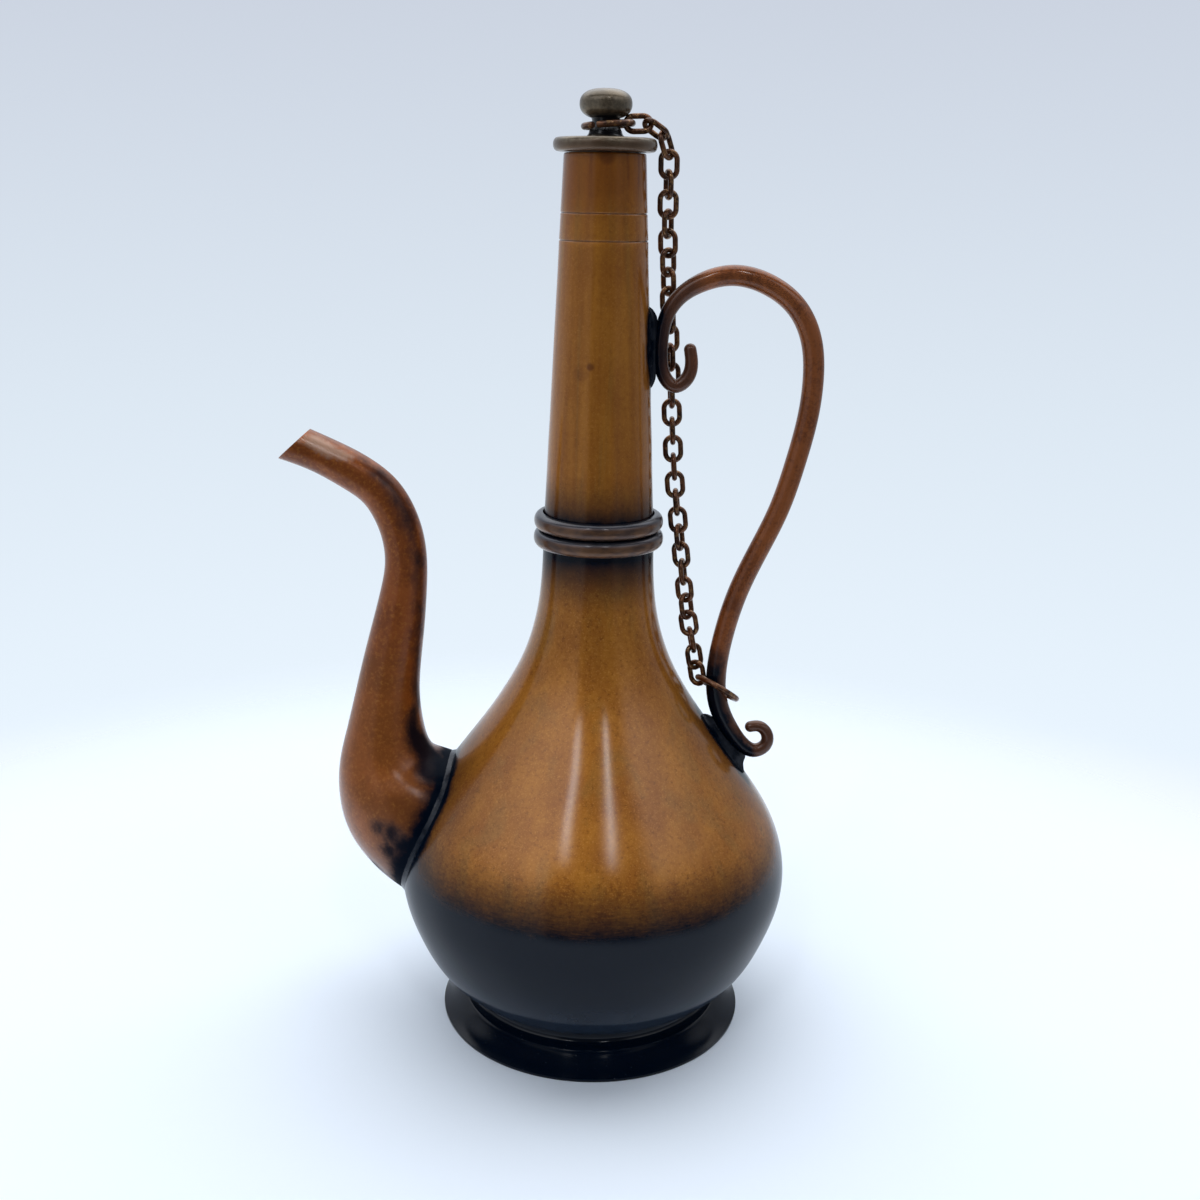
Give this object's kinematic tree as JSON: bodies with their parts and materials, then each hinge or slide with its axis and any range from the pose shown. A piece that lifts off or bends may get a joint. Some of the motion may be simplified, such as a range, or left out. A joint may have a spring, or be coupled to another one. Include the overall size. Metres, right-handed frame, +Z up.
{
  "type": "water jar",
  "caption": "Tall copper ewer with a pear body on a flared foot, swan-neck spout, scrolled rod handle and a knobbed lid held by a chain to a ring on the handle.",
  "frame": {"origin": "centre of the footprint box on the surface the foot stands on; the jar's own axis is 14.5 mm towards +X from it", "axes": "+Z up along the jar's axis, -X towards the spout, +X towards the handle, -Y towards the viewer of the picture"},
  "size_m": [0.1528, 0.1156, 0.27],
  "materials": {
    "amber_copper": "clear lacquered copper, glossy",
    "blackened_copper": "black patinated copper",
    "red_copper": "red-brown patinated copper, satin",
    "bronze": "olive grey bronze, satin",
    "chain_wire": "dark brown wire with brassy edges"
  },
  "bodies": {
    "jar": {"foot_ring": "blackened_copper", "body_shell": "amber_copper", "neck_tube": "amber_copper", "neck_ring_lower": "amber_copper", "neck_ring_upper": "amber_copper", "spout_tube": "red_copper", "handle_rod": "red_copper", "handle_upper_bracket": "blackened_copper", "handle_lower_bracket": "blackened_copper"},
    "lid": {"lid_disc": "bronze", "lid_knob": "bronze", "lid_plug": "bronze"},
    "lid_ring": {"lid_ring": "chain_wire"},
    "link_01": {"chain_link_01": "chain_wire"},
    "link_02": {"chain_link_02": "chain_wire"},
    "link_03": {"chain_link_03": "chain_wire"},
    "link_04": {"chain_link_04": "chain_wire"},
    "link_05": {"chain_link_05": "chain_wire"},
    "link_06": {"chain_link_06": "chain_wire"},
    "link_07": {"chain_link_07": "chain_wire"},
    "link_08": {"chain_link_08": "chain_wire"},
    "link_09": {"chain_link_09": "chain_wire"},
    "link_10": {"chain_link_10": "chain_wire"},
    "link_11": {"chain_link_11": "chain_wire"},
    "link_12": {"chain_link_12": "chain_wire"},
    "link_13": {"chain_link_13": "chain_wire"},
    "link_14": {"chain_link_14": "chain_wire"},
    "link_15": {"chain_link_15": "chain_wire"},
    "link_16": {"chain_link_16": "chain_wire"},
    "link_17": {"chain_link_17": "chain_wire"},
    "link_18": {"chain_link_18": "chain_wire"},
    "link_19": {"chain_link_19": "chain_wire"},
    "link_20": {"chain_link_20": "chain_wire"},
    "link_21": {"chain_link_21": "chain_wire"},
    "link_22": {"chain_link_22": "chain_wire"},
    "link_23": {"chain_link_23": "chain_wire"},
    "link_24": {"chain_link_24": "chain_wire"},
    "link_25": {"chain_link_25": "chain_wire"},
    "link_26": {"chain_link_26": "chain_wire"},
    "link_27": {"chain_link_27": "chain_wire"},
    "link_28": {"chain_link_28": "chain_wire"},
    "link_29": {"chain_link_29": "chain_wire"},
    "link_30": {"chain_link_30": "chain_wire"},
    "link_31": {"chain_link_31": "chain_wire"},
    "link_32": {"chain_link_32": "chain_wire"},
    "handle_ring": {"handle_ring": "chain_wire"}
  },
  "joints": [
    {"name": "lid_lift", "type": "slide", "parent": "jar", "child": "lid_ring", "axis": [0, 0, 1], "range_m": [0, 0.02]},
    {"name": "lid_turn", "type": "hinge", "parent": "lid_ring", "child": "lid", "pos_m": [0.01452, 0, 0.254], "axis": [0, 0, 1], "continuous": true},
    {"name": "chain_twist", "type": "hinge", "parent": "lid_ring", "child": "link_16", "pos_m": [0.0344, 0.0058, 0.18924], "axis": [-0.0588, 0, 0.9983], "range_deg": [-45, 45]},
    {"name": "link_01_twist", "type": "hinge", "parent": "lid_ring", "child": "link_01", "pos_m": [0.02318, 0.00017, 0.26131], "axis": [-0.9971, -0.0654, -0.0398], "range_deg": [-2.83, 2.83]},
    {"name": "link_02_twist", "type": "hinge", "parent": "lid_ring", "child": "link_02", "pos_m": [0.02788, 0.00069, 0.25998], "axis": [-0.8227, -0.1365, 0.5518], "range_deg": [-5.64, 5.64]},
    {"name": "link_03_twist", "type": "hinge", "parent": "lid_ring", "child": "link_03", "pos_m": [0.03082, 0.00138, 0.25613], "axis": [-0.3162, -0.13, 0.9397], "range_deg": [-8.45, 8.45]},
    {"name": "link_04_twist", "type": "hinge", "parent": "lid_ring", "child": "link_04", "pos_m": [0.03168, 0.00211, 0.25114], "axis": [-0.016, -0.1521, 0.9882], "range_deg": [-11.26, 11.26]},
    {"name": "link_05_twist", "type": "hinge", "parent": "lid_ring", "child": "link_05", "pos_m": [0.03175, 0.00286, 0.24602], "axis": [-0.0119, -0.14, 0.9901], "range_deg": [-14.08, 14.08]},
    {"name": "link_06_twist", "type": "hinge", "parent": "lid_ring", "child": "link_06", "pos_m": [0.03182, 0.00357, 0.2409], "axis": [-0.015, -0.1321, 0.9911], "range_deg": [-16.89, 16.89]},
    {"name": "link_07_twist", "type": "hinge", "parent": "lid_ring", "child": "link_07", "pos_m": [0.03194, 0.00423, 0.23577], "axis": [-0.0312, -0.1236, 0.9918], "range_deg": [-19.7, 19.7]},
    {"name": "link_08_twist", "type": "hinge", "parent": "lid_ring", "child": "link_08", "pos_m": [0.03214, 0.00487, 0.23062], "axis": [-0.0454, -0.1221, 0.9915], "range_deg": [-22.51, 22.51]},
    {"name": "link_09_twist", "type": "hinge", "parent": "lid_ring", "child": "link_09", "pos_m": [0.03239, 0.00543, 0.22548], "axis": [-0.0512, -0.0956, 0.9941], "range_deg": [-25.33, 25.33]},
    {"name": "link_10_twist", "type": "hinge", "parent": "lid_ring", "child": "link_10", "pos_m": [0.03266, 0.0058, 0.22032], "axis": [-0.052, -0.0453, 0.9976], "range_deg": [-28.14, 28.14]},
    {"name": "link_11_twist", "type": "hinge", "parent": "lid_ring", "child": "link_11", "pos_m": [0.03293, 0.00592, 0.21514], "axis": [-0.055, -0.0011, 0.9985], "range_deg": [-30.95, 30.95]},
    {"name": "link_12_twist", "type": "hinge", "parent": "lid_ring", "child": "link_12", "pos_m": [0.03322, 0.00588, 0.20995], "axis": [-0.0567, 0.0153, 0.9983], "range_deg": [-33.76, 33.76]},
    {"name": "link_13_twist", "type": "hinge", "parent": "lid_ring", "child": "link_13", "pos_m": [0.03352, 0.00582, 0.20476], "axis": [-0.0568, 0.0076, 0.9984], "range_deg": [-36.58, 36.58]},
    {"name": "link_14_twist", "type": "hinge", "parent": "lid_ring", "child": "link_14", "pos_m": [0.03381, 0.0058, 0.19958], "axis": [-0.0561, 0, 0.9984], "range_deg": [-39.39, 39.39]},
    {"name": "link_15_twist", "type": "hinge", "parent": "lid_ring", "child": "link_15", "pos_m": [0.0341, 0.0058, 0.19441], "axis": [-0.0566, 0, 0.9984], "range_deg": [-42.2, 42.2]},
    {"name": "link_17_twist", "type": "hinge", "parent": "lid_ring", "child": "link_17", "pos_m": [0.03472, 0.0058, 0.18406], "axis": [-0.0621, -0.0013, 0.9981], "range_deg": [-42.37, 42.37]},
    {"name": "link_18_twist", "type": "hinge", "parent": "lid_ring", "child": "link_18", "pos_m": [0.03504, 0.00582, 0.17888], "axis": [-0.0626, -0.0062, 0.998], "range_deg": [-39.72, 39.72]},
    {"name": "link_19_twist", "type": "hinge", "parent": "lid_ring", "child": "link_19", "pos_m": [0.03538, 0.00584, 0.1737], "axis": [-0.0697, -0.0007, 0.9976], "range_deg": [-37.07, 37.07]},
    {"name": "link_20_twist", "type": "hinge", "parent": "lid_ring", "child": "link_20", "pos_m": [0.03578, 0.00579, 0.16854], "axis": [-0.0855, 0.0186, 0.9962], "range_deg": [-34.43, 34.43]},
    {"name": "link_21_twist", "type": "hinge", "parent": "lid_ring", "child": "link_21", "pos_m": [0.03627, 0.00564, 0.16339], "axis": [-0.1034, 0.0404, 0.9938], "range_deg": [-31.78, 31.78]},
    {"name": "link_22_twist", "type": "hinge", "parent": "lid_ring", "child": "link_22", "pos_m": [0.03683, 0.00541, 0.15825], "axis": [-0.1129, 0.0495, 0.9924], "range_deg": [-29.13, 29.13]},
    {"name": "link_23_twist", "type": "hinge", "parent": "lid_ring", "child": "link_23", "pos_m": [0.03742, 0.00516, 0.15312], "axis": [-0.1149, 0.0476, 0.9922], "range_deg": [-26.48, 26.48]},
    {"name": "link_24_twist", "type": "hinge", "parent": "lid_ring", "child": "link_24", "pos_m": [0.03803, 0.00491, 0.14799], "axis": [-0.1197, 0.05, 0.9915], "range_deg": [-23.84, 23.84]},
    {"name": "link_25_twist", "type": "hinge", "parent": "lid_ring", "child": "link_25", "pos_m": [0.03866, 0.00465, 0.14287], "axis": [-0.1241, 0.0504, 0.991], "range_deg": [-21.19, 21.19]},
    {"name": "link_26_twist", "type": "hinge", "parent": "lid_ring", "child": "link_26", "pos_m": [0.0393, 0.00439, 0.13774], "axis": [-0.1236, 0.0498, 0.9911], "range_deg": [-18.55, 18.55]},
    {"name": "link_27_twist", "type": "hinge", "parent": "lid_ring", "child": "link_27", "pos_m": [0.03995, 0.00413, 0.13261], "axis": [-0.1283, 0.0497, 0.9905], "range_deg": [-15.9, 15.9]},
    {"name": "link_28_twist", "type": "hinge", "parent": "lid_ring", "child": "link_28", "pos_m": [0.04067, 0.00387, 0.1275], "axis": [-0.1509, 0.0488, 0.9873], "range_deg": [-13.25, 13.25]},
    {"name": "link_29_twist", "type": "hinge", "parent": "lid_ring", "child": "link_29", "pos_m": [0.04154, 0.00362, 0.12241], "axis": [-0.1848, 0.0488, 0.9816], "range_deg": [-10.6, 10.6]},
    {"name": "link_30_twist", "type": "hinge", "parent": "lid_ring", "child": "link_30", "pos_m": [0.04253, 0.00338, 0.11735], "axis": [-0.1965, 0.0462, 0.9794], "range_deg": [-7.96, 7.96]},
    {"name": "link_31_twist", "type": "hinge", "parent": "lid_ring", "child": "link_31", "pos_m": [0.04351, 0.00315, 0.11228], "axis": [-0.186, 0.0396, 0.9818], "range_deg": [-5.31, 5.31]},
    {"name": "link_32_twist", "type": "hinge", "parent": "lid_ring", "child": "link_32", "pos_m": [0.04447, 0.00296, 0.10721], "axis": [-0.1832, 0.0347, 0.9825], "range_deg": [-2.66, 2.66]},
    {"name": "handle_ring_tilt", "type": "hinge", "parent": "lid_ring", "child": "handle_ring", "pos_m": [0.04479, 0.0029, 0.1055], "axis": [-0.3623, -0.9063, 0.2177], "range_deg": [0, 18]}
  ],
  "couplings": [
    {"joint": "link_01_twist", "follows": "chain_twist", "ratio": 0.0625},
    {"joint": "link_02_twist", "follows": "chain_twist", "ratio": 0.125},
    {"joint": "link_03_twist", "follows": "chain_twist", "ratio": 0.1875},
    {"joint": "link_04_twist", "follows": "chain_twist", "ratio": 0.25},
    {"joint": "link_05_twist", "follows": "chain_twist", "ratio": 0.3125},
    {"joint": "link_06_twist", "follows": "chain_twist", "ratio": 0.375},
    {"joint": "link_07_twist", "follows": "chain_twist", "ratio": 0.4375},
    {"joint": "link_08_twist", "follows": "chain_twist", "ratio": 0.5},
    {"joint": "link_09_twist", "follows": "chain_twist", "ratio": 0.5625},
    {"joint": "link_10_twist", "follows": "chain_twist", "ratio": 0.625},
    {"joint": "link_11_twist", "follows": "chain_twist", "ratio": 0.6875},
    {"joint": "link_12_twist", "follows": "chain_twist", "ratio": 0.75},
    {"joint": "link_13_twist", "follows": "chain_twist", "ratio": 0.8125},
    {"joint": "link_14_twist", "follows": "chain_twist", "ratio": 0.875},
    {"joint": "link_15_twist", "follows": "chain_twist", "ratio": 0.9375},
    {"joint": "link_17_twist", "follows": "chain_twist", "ratio": 0.9412},
    {"joint": "link_18_twist", "follows": "chain_twist", "ratio": 0.8824},
    {"joint": "link_19_twist", "follows": "chain_twist", "ratio": 0.8235},
    {"joint": "link_20_twist", "follows": "chain_twist", "ratio": 0.7647},
    {"joint": "link_21_twist", "follows": "chain_twist", "ratio": 0.7059},
    {"joint": "link_22_twist", "follows": "chain_twist", "ratio": 0.6471},
    {"joint": "link_23_twist", "follows": "chain_twist", "ratio": 0.5882},
    {"joint": "link_24_twist", "follows": "chain_twist", "ratio": 0.5294},
    {"joint": "link_25_twist", "follows": "chain_twist", "ratio": 0.4706},
    {"joint": "link_26_twist", "follows": "chain_twist", "ratio": 0.4118},
    {"joint": "link_27_twist", "follows": "chain_twist", "ratio": 0.3529},
    {"joint": "link_28_twist", "follows": "chain_twist", "ratio": 0.2941},
    {"joint": "link_29_twist", "follows": "chain_twist", "ratio": 0.2353},
    {"joint": "link_30_twist", "follows": "chain_twist", "ratio": 0.1765},
    {"joint": "link_31_twist", "follows": "chain_twist", "ratio": 0.1176},
    {"joint": "link_32_twist", "follows": "chain_twist", "ratio": 0.0588}
  ]
}
